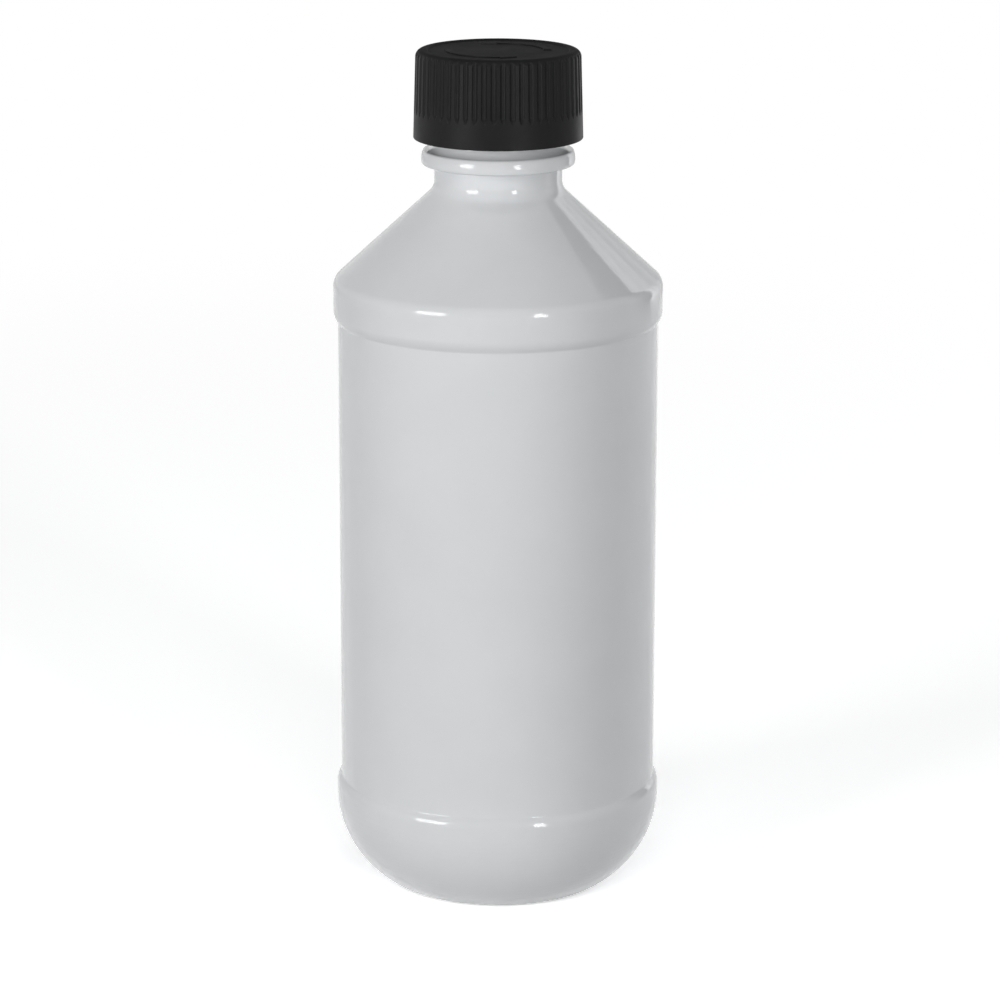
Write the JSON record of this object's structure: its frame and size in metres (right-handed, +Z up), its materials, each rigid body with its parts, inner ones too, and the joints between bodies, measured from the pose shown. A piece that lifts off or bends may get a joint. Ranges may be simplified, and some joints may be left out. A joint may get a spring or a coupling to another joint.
{
  "type": "child-resistant plastic bottle",
  "caption": "Round white plastic bottle with a recessed label panel and conical shoulder, closed by a black ribbed push-and-turn cap with an inner cap, spring disc and liner.",
  "frame": {"origin": "middle of the bottle's base, on the surface it stands on", "axes": "+Z up along the bottle's axis; -Y faces the camera of the picture; the body is round, so X and Y are set only by the start of the thread"},
  "size_m": [0.056, 0.056, 0.1453],
  "materials": {
    "bottle_white": "gloss",
    "liner_foam": "matt closed-cell foam",
    "inner_cap_natural": "satin moulded",
    "spring_natural": "satin moulded",
    "cap_black": "satin moulded"
  },
  "bodies": {
    "bottle": {"bottle": "bottle_white"},
    "seal": {"liner": "liner_foam"},
    "inner_cap": {"inner_cap": "inner_cap_natural"},
    "spring": {"spring_disc": "spring_natural"},
    "outer_cap": {"outer_cap": "cap_black"}
  },
  "joints": [
    {"name": "cap_lift", "type": "slide", "parent": "bottle", "child": "seal", "axis": [0, 0, 1], "range_m": [0, 0.0127]},
    {"name": "cap_turn", "type": "hinge", "parent": "seal", "child": "inner_cap", "pos_m": [0, 0, 0.1395], "axis": [0, 0, 1], "range_deg": [0, 1440]},
    {"name": "shell_spin", "type": "hinge", "parent": "inner_cap", "child": "spring", "pos_m": [0, 0, 0.1414], "axis": [0, 0, 1], "continuous": true},
    {"name": "push_down", "type": "slide", "parent": "spring", "child": "outer_cap", "axis": [0, 0, -1], "range_m": [0, 0.0015], "stiffness_N_per_m": 8000, "springref_m": -0.0003, "deforming": ["spring_disc"]}
  ],
  "couplings": [
    {"joint": "cap_turn", "follows": "cap_lift", "rad_per_m": 1979}
  ]
}
